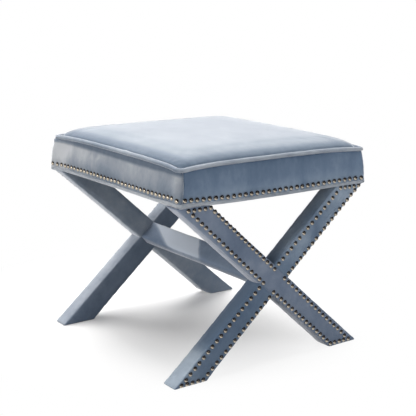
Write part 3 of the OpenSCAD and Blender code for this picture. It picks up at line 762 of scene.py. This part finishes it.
# Stretcher
stretcher = {
    "w": 48 * mm, "t": 28 * mm, "half": 200 * mm, "shift": 3 * mm, "soft": 4 * mm,
    "past": 3 * mm,                      # how far the cover runs into the legs' sleeves
    "wave": 0.4 * mm, "seed": 40,
}
place = (Matrix.Translation((-crossEdge * math.cos(slope), 0, crossZ))
         @ Matrix.Rotation(-slope, 4, "Y") @ Matrix.Translation((stretcher["shift"], 0, 0)))
box = [(0, -stretcher["t"]), (stretcher["w"], -stretcher["t"]), (stretcher["w"], 0), (0, 0)]
reach = stretcher["half"] + stretcher["past"]
stretcherCover = softBar("stretcherCover", box, [stretcher["soft"]] * 4, -reach, reach,
                         velvets["velvetStretcher"], (), place)
dimple(stretcherCover, [], 0, 1, stretcher["wave"], stretcher["seed"])
cover(stretcherCover, "stretcher_cover")
print("stretcher cover made")


# Seat top
top = {
    "cells": 76,
    "power": 28,
    "rimOut": -4.2 * mm,
    "steep": 9, "round": 0.6,            # of the crown's rise along its rim
    "pressure": 4.0, "cap": 1.6 * mm, "grow": 0.0,
    "shell": 1.2 * mm,
    "gather": 0.9 * mm, "gatherReach": 26 * mm, "gatherPitch": 11 * mm, "cornerReach": 45 * mm,
    "held": 4 * mm, "halfHeld": 7 * mm, "halfWeight": 0.6,       # the rim that the welt holds
    "swell": 0.5 * mm,
}
foam = {"cells": 48, "in": 9 * mm, "down": 3.5 * mm}             # inside the seat top


def crownPoint(u, v, out, sink):
    half = Vector((seat["w"] / 2 + out, seat["d"] / 2 + out))
    x, y = u * half.x, v * half.y
    x -= math.copysign(seat["drawIn"] * math.cos(math.pi / 2 * v) * u * u, u)
    y -= math.copysign(seat["drawIn"] * math.cos(math.pi / 2 * u) * v * v, v)
    share = min(1, (abs(u) ** top["power"] + abs(v) ** top["power"]) ** (1 / top["power"]))
    rim = max(abs(u), abs(v))
    along = min(abs(u), abs(v)) / max(rim, 1e-6)
    z = seat["weltZ"] - seat["drop"] * along ** 4 * rim ** 4
    return Vector((x, y, z + seat["crown"] * (1 - share ** top["steep"]) ** top["round"] - sink))


def crownSheet(cells, out, sink):
    bm = bmesh.new()
    bmesh.ops.create_grid(bm, x_segments=cells, y_segments=cells, size=1)
    for v in bm.verts:
        u, w = (math.copysign(1 - (1 - abs(c)) ** 1.35, c) for c in (v.co.x, v.co.y))     # finer at the rim
        v.co = crownPoint(u, w, out, sink)
    return bm


def makeTop():
    obj = finishMesh(crownSheet(top["cells"], top["rimOut"], 0), "seatTop", velvets["velvetTop"])
    rimX, rimY = seat["w"] / 2 + top["rimOut"], seat["d"] / 2 + top["rimOut"]
    pins = {}
    for v in obj.data.vertices:
        inside = min(rimX - abs(v.co.x), rimY - abs(v.co.y))
        if inside < top["halfHeld"]:
            pins[v.index] = 1.0 if inside < top["held"] else top["halfWeight"]
    if obj.data.polygons[0].normal.z < 0:
        obj.data.flip_normals()
    settle(obj, top["pressure"], top["cap"], top["grow"], pins)
    smoothFiner(obj)
    moved = []
    for v in obj.data.vertices:
        inX, inY = rimX - abs(v.co.x), rimY - abs(v.co.y)
        inside = max(0, min(inX, inY))
        corner = math.hypot(inX, inY)
        ripple = noise.noise(v.co / top["gatherPitch"]) + 0.5 * noise.noise(v.co * 2.3 / top["gatherPitch"])
        fold = math.exp(-inside / (0.5 * top["gatherReach"])) * min(1, inside / (6 * mm))
        strength = 0.25 + 1.1 * math.exp(-(corner / top["cornerReach"]) ** 2)
        rise = top["gather"] * fold * strength * ripple
        rise += top["swell"] * noise.noise(v.co * 9 + Vector((3, 1, 0))) * min(1, inside / (30 * mm))
        moved.append(v.co + Vector((0, 0, rise)))
    moveTo(obj, moved)
    thicken(obj, top["shell"])
    ready(obj, "top_cover")


def makeFoam():
    bm = crownSheet(foam["cells"], -foam["in"], foam["down"])
    rim = [e for e in bm.edges if e.is_boundary]
    made = bmesh.ops.extrude_edge_only(bm, edges=rim)["geom"]
    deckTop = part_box("seat_deck")[1][2]
    for v in made:
        if isinstance(v, bmesh.types.BMVert):
            v.co.z = deckTop
    bmesh.ops.contextual_create(bm, geom=[g for g in made if isinstance(g, bmesh.types.BMEdge)])
    obj = finishMesh(bm, "seatFoam", makeFill("seatFoam", "foam"), smooth=False)
    ready(obj, "seat_foam", slotName="foam")


makeTop()
makeFoam()
print("seat top made")


# Welt
welt = {
    "r": 4.5 * mm, "out": -1.25 * mm, "points": 64, "wobble": 0.35 * mm, "twist": 0.18 * mm,
    "ear": 3.2 * mm, "earReach": 16 * mm,        # how far it stands out at the corners
    "jointW": 1.60, "joint": 0.9 * mm, "jointReach": 8 * mm,     # where its ends lap, on the left side
    "windPitch": 5 * mm,
}


def tubeAlong(name, points, radius, material, sides=4):
    data = bpy.data.curves.new(name, "CURVE")
    data.dimensions = "3D"
    data.bevel_depth = radius
    data.bevel_resolution = sides
    data.twist_mode = "Z_UP"
    line = data.splines.new("POLY")
    line.points.add(len(points) - 1)
    for spot, p in zip(line.points, points):
        spot.co = (*p, 1)
    line.use_cyclic_u = True
    path = bpy.data.objects.new(name, data)
    scene.collection.objects.link(path)
    graph = bpy.context.evaluated_depsgraph_get()
    mesh = bpy.data.meshes.new_from_object(path.evaluated_get(graph))
    bpy.data.objects.remove(path)
    mesh.materials.clear()
    mesh.materials.append(material)
    for face in mesh.polygons:
        face.use_smooth = True
    obj = bpy.data.objects.new(name, mesh)
    scene.collection.objects.link(obj)
    return obj


def makeWelt():
    points = []
    for i in range(4 * welt["points"]):
        w = i / welt["points"]
        p, n, drop = ringEdge(w, welt["out"])
        corner = min(w % 1, 1 - w % 1) * seat["w"]
        p += n * welt["ear"] * math.exp(-(corner / welt["earReach"]) ** 2)
        p.z = seat["weltZ"] - seat["drop"] * drop
        p += n * welt["wobble"] * noise.noise(p * 30)
        p.z += welt["wobble"] * noise.noise(p * 26 + Vector((0, 5, 0)))
        points.append(p)
    obj = tubeAlong("topWelt", points, welt["r"], velvets["velvetTrim"])
    lap = ringEdge(welt["jointW"], welt["out"])[0]
    moved = []
    for v in obj.data.vertices:
        wind = math.sin((v.co.x + v.co.y + v.co.z * 1.5) / welt["windPitch"]) * 0.4
        push = welt["twist"] * (noise.noise(v.co * 160) + wind)
        away = math.hypot(v.co.x - lap.x, v.co.y - lap.y)
        push += welt["joint"] * math.exp(-(away / welt["jointReach"]) ** 2)
        moved.append(v.co + v.normal * push)
    moveTo(obj, moved)
    ready(obj, "top_welt")


makeWelt()
print("welt made")


# Side bands
bands = {
    "cellsAlong": 150, "cellsUp": 22,
    "puff": 0.8 * mm,                    # swell between the welt and the nails
    "shrink": 2.6 * mm,                  # how far the top edge sits back under the welt
    "ripple": 0.5 * mm,                  # upright ripples
    "gather": 0.8 * mm,                  # puckers that hang from the welt
    "crinkle": 1.0 * mm, "crinkleReach": 26 * mm,        # at the corner seams
    "nailPull": 1.3 * mm, "nailReach": 7 * mm,
    "rowPull": 0.5 * mm, "rowReach": 5 * mm,
    "seams": (0, -0.014, 0.013, 0.013, 0),       # how far the seams sit past the corners, as shares
    "seamDip": 1.3 * mm, "seamWide": 2.2 * mm,
    "shell": 1.0 * mm,
    "tuckUp": 2.5 * mm, "tuckDown": 3 * mm,      # how far they run under the welt and the roll
    "foldTop": 3.5 * mm, "foldFoot": 2.0 * mm,   # how far those edges turn in
}


def makeBand(k, side, material):
    bm = bmesh.new()
    bmesh.ops.create_grid(bm, x_segments=bands["cellsAlong"], y_segments=bands["cellsUp"], size=0.5)
    bandNails = [m.to_translation() for other in (k, k + 1, k + 3) for m in bandPlaces(other % 4)]
    tree = placeTree(bandNails)
    length = seat["w"] if k % 2 == 0 else seat["d"]
    for v in bm.verts:
        u, up = v.co.x + 0.5, v.co.y + 0.5
        u = 0.5 - 0.5 * math.cos(math.pi * u) * (1 - 0.35 * math.sin(math.pi * u))     # finer at the corners
        start, end = (bands["seams"][i] for i in (k, k + 1))
        p, n, drop = bandEdge(k + start + u * (1 + end - start), 0, seat["flare"] * (1 - up))
        rise = hemShift(p.x, p.y) * (1 - up)
        low = rollTopZ - bands["tuckDown"]
        high = bandTopZ + bands["tuckUp"] - seat["drop"] * drop
        z = low + (high - low) * up + rise
        end = min(u, 1 - u) * length
        puff = bands["puff"] * math.sin(math.pi * min(1, max(0, (up - 0.12) / 0.88))) ** 0.8
        puff -= bands["shrink"] * max(0, (up - 0.35) / 0.65) ** 1.5
        spot = Vector((p.x, p.y, 0))
        upper = max(0, (up - 0.45) / 0.55) ** 1.5
        puff += bands["ripple"] * noise.noise(spot * 26 + Vector((0, 0, z * 4)))
        puff += bands["gather"] * noise.noise(spot * 90 + Vector((0, 0, z * 8))) * upper
        crease = noise.noise(Vector((end * 30, 7 * k, z * 120 + end * 40)))
        puff += bands["crinkle"] * crease * math.exp(-(end / bands["crinkleReach"]) ** 2)
        p = Vector((p.x, p.y, z)) + n * puff
        pull = bands["nailPull"] * math.exp(-(tree.find(p)[2] / bands["nailReach"]) ** 2)
        pull += bands["rowPull"] * math.exp(-((z - rise - nails["bandZ"]) / bands["rowReach"]) ** 2)
        tuckIn = bands["foldTop"] * max(0, (up - 0.93) / 0.07) ** 2
        tuckIn += bands["foldFoot"] * max(0, (0.05 - up) / 0.05) ** 2
        seam = bands["seamDip"] * math.exp(-(end / bands["seamWide"]) ** 2)
        v.co = p - n * (pull + tuckIn + seam)
    obj = finishMesh(bm, "band." + side, material)
    mid = obj.data.polygons[len(obj.data.polygons) // 2]
    if mid.normal.dot(ringEdge(k + 0.5)[1]) < 0:
        obj.data.flip_normals()
    thicken(obj, bands["shell"])
    ready(obj, "band_" + side)


for k, side in enumerate(("back", "left", "front", "right")):
    makeBand(k, side, velvets["velvetSide" if k % 2 else "velvetFront"])
print("bands made")


# Edge roll
roll = {
    "cellsAround": 640,
    "h": 7.6 * mm, "wave": 0.6 * mm,
    "foldIn": 34,                        # millimetres of velvet turned under the rails
    "jointW": 1.62, "jointStep": 0.7 * mm,      # overlap on the left side
    "shell": 0.6 * mm,
}


def makeRoll():
    under, half = seat["under"], roll["h"] / 2 / mm
    angles = [math.radians(x) for x in (95, 75, 52, 28, 0, -28, -52, -75, -90)]
    profile = [(-7.0, 0, 2 * half - 0.6)]       # out, spread, height, in millimetres
    profile += [(-3.4 + 4.0 * abs(math.cos(a)) ** 0.6, 0, half * (1 + math.sin(a))) for a in angles]
    profile += [(-4.0, 0, 0.15), (-4.0, -12, 0.12), (-4.0, -roll["foldIn"], 0.25)]
    bm = bmesh.new()
    bmesh.ops.create_grid(bm, x_segments=roll["cellsAround"], y_segments=len(profile) - 1, size=0.5)
    for v in bm.verts:
        w = (v.co.x + 0.5) * 4
        out, spread, height = profile[round((v.co.y + 0.5) * (len(profile) - 1))]
        p, n = bandEdge(w, out * mm, seat["flare"] + spread * mm)[:2]
        swell = roll["wave"] * (noise.noise(p * 28) + 0.6 * noise.noise(p * 75 + Vector((0, 4, 0))))
        past = w - roll["jointW"]
        step = roll["jointStep"] * math.exp(-max(0, past * 80) ** 2) if past > 0 else 0
        lift = roll["wave"] * 0.8 * noise.noise(p * 20 + Vector((7, 0, 0)))
        if out > -4 or height > 4:
            p += n * (swell + step)
            height += (hemShift(p.x, p.y) + (lift - step) * (0.4 if height < 4 else 1)) / mm
        v.co = (p.x, p.y, under + height * mm)
    bmesh.ops.remove_doubles(bm, verts=bm.verts, dist=0.02 * mm)
    obj = finishMesh(bm, "edgeRoll", velvets["velvetRoll"])
    if max(obj.data.polygons, key=lambda f: f.center.y).normal.y < 0:
        obj.data.flip_normals()
    thicken(obj, roll["shell"])
    ready(obj, "edge_roll")


makeRoll()
print("edge roll made")


# Dust cloth
dust = {
    "in": 9 * mm,                        # from the part's own edge
    "sag": 1.4 * mm,                     # hangs below the rails, so that it hides the roll's fold
    "crease": 0.12 * mm, "cells": 60, "thick": 0.3 * mm,
}


def makeDust():
    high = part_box("dust_cover")[1]
    hx, hy = high[0] - dust["in"], high[1] - dust["in"]
    bm = bmesh.new()
    bmesh.ops.create_grid(bm, x_segments=dust["cells"], y_segments=dust["cells"], size=1)
    for v in bm.verts:
        u, w = v.co.x, v.co.y
        sag = dust["sag"] * (1 - u ** 6) * (1 - w ** 6) * (0.6 + 0.4 * noise.noise(Vector((u * 2, w * 2, 0))))
        crease = dust["crease"] * noise.noise(Vector((u * 9, w * 9, 2)))
        v.co = Vector((u * hx, w * hy, seat["under"] - dust["thick"] - sag + crease))
    obj = finishMesh(bm, "dustCloth", makeFill("dustCloth", "dustCloth"))
    if obj.data.polygons[0].normal.z > 0:
        obj.data.flip_normals()
    thicken(obj, dust["thick"])
    ready(obj, "dust_cover", slotName="dust_cloth")


makeDust()
print("dust cloth made")


# Studio
studio = {
    "floor": (0.90, 0.90, 0.90), "floorEdge": (0.87, 0.87, 0.87),
    "floorBounce": (0.55, 0.55, 0.55),   # the floor as the light that it throws back sees it
    "lift": 0.14,                        # share of plain white in what the camera sees of the floor
    "spot": (-0.02, -0.18, 0),           # moves the middle of the fade towards the back
    "fade": (0.10, 0.54),                # metres from that middle, where the floor turns plain white
    "ambient": 0.02, "ambientTone": (0.80, 0.93, 1.15, 1),
    "horizon": (0.02, 0.12),             # how high the white reaches in what the nails mirror
    "frontGlow": (0.3, 0.35),            # where and how fast the mirrored dark clears towards the front
}
lights = {
    "leftBack": {"at": (-2.4, 0.9, 1.3), "size": 0.8, "power": 21, "tone": (1.0, 0.97, 0.94)},
    "leftLow": {"at": (-2.4, -0.3, 0.7), "size": 1.0, "power": 21, "tone": (1.0, 0.97, 0.94)},
    "over": {"at": (0, 0.1, 2.7), "size": 1.4, "power": 58, "tone": (1.0, 0.99, 0.98)},
    "back": {"at": (0.3, 1.7, 2.2), "size": 1.8, "power": 72, "tone": (1.0, 0.99, 0.98)},
    "front": {"at": (0.5, -2.5, 1.2), "size": 1.6, "power": 29, "tone": (0.97, 0.99, 1.03)},
}


def areaLight(name):
    look = lights[name]
    data = bpy.data.lights.new(name, "AREA")
    data.size = look["size"]
    data.energy = look["power"]
    data.color = look["tone"]
    obj = bpy.data.objects.new(name, data)
    obj.location = look["at"]
    obj.rotation_euler = (Vector((0, 0, 0.3)) - obj.location).to_track_quat("-Z", "Y").to_euler()
    scene.collection.objects.link(obj)


def makeFloor():
    bm = bmesh.new()
    bmesh.ops.create_grid(bm, x_segments=2, y_segments=2, size=12)
    f = Finish("floorPaper")
    seen = f.seen()
    place = f.node("ShaderNodeTexCoord", out="Object")
    moved = f.node("ShaderNodeVectorMath", {"operation": "ADD"}, {0: place, 1: studio["spot"]})
    away = f.node("ShaderNodeVectorMath", {"operation": "LENGTH"}, {0: moved}, out="Value")
    near, far = studio["fade"]
    fade = f.node("ShaderNodeMapRange", {"interpolation_type": "SMOOTHSTEP"}, {
        "Value": away, "From Min": near, "From Max": far, "To Min": studio["lift"], "To Max": 1.0})
    grain = f.noise(f.coords(), 3, 2, 0.5)
    tone = f.blend(grain * 0.1, studio["floor"], studio["floorEdge"])
    paper = f.node("ShaderNodeBsdfDiffuse", {}, {"Color": f.blend(seen, studio["floorBounce"], tone)})
    glow = f.node("ShaderNodeEmission", {}, {"Color": (1, 1, 1, 1), "Strength": 1.0})
    mixed = f.node("ShaderNodeMixShader", {}, {0: seen * fade, 1: paper, 2: glow})
    obj = finishMesh(bm, "studioFloor", f.show(mixed))
    if obj.data.polygons[0].normal.z < 0:
        obj.data.flip_normals()
    obj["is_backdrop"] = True


def makeWorld():
    f = Finish("studio", world=True)
    way = f.node("ShaderNodeTexCoord", out="Generated")
    height = f.node("ShaderNodeSeparateXYZ", {}, {0: way}, out="Z")
    depth = f.node("ShaderNodeSeparateXYZ", {}, {0: way}, out="Y")
    start, speed = studio["frontGlow"]
    front = f.sum("MINIMUM", depth + start, 0) * speed
    mirrored = (height + front) * f.node("ShaderNodeLightPath", out="Is Glossy Ray")
    low, high = studio["horizon"]
    sky = f.ramp(mirrored, [(low, (1, 1, 1)), (high, (0.02, 0.02, 0.022))])      # the camera sees plain white
    ambient = {"Color": studio["ambientTone"], "Strength": studio["ambient"]}
    dim = f.node("ShaderNodeBackground", {}, ambient)
    backdrop = f.node("ShaderNodeBackground", {}, {"Color": sky, "Strength": 1.0})
    scene.world = f.show(f.node("ShaderNodeMixShader", {}, {0: f.seen(), 1: dim, 2: backdrop}))


makeFloor()
makeWorld()
for name in lights:
    areaLight(name)
print("studio lit")

bpy.data.meshes.remove(oneNail)
sizes = {"cad": cadBox, "visual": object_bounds()}
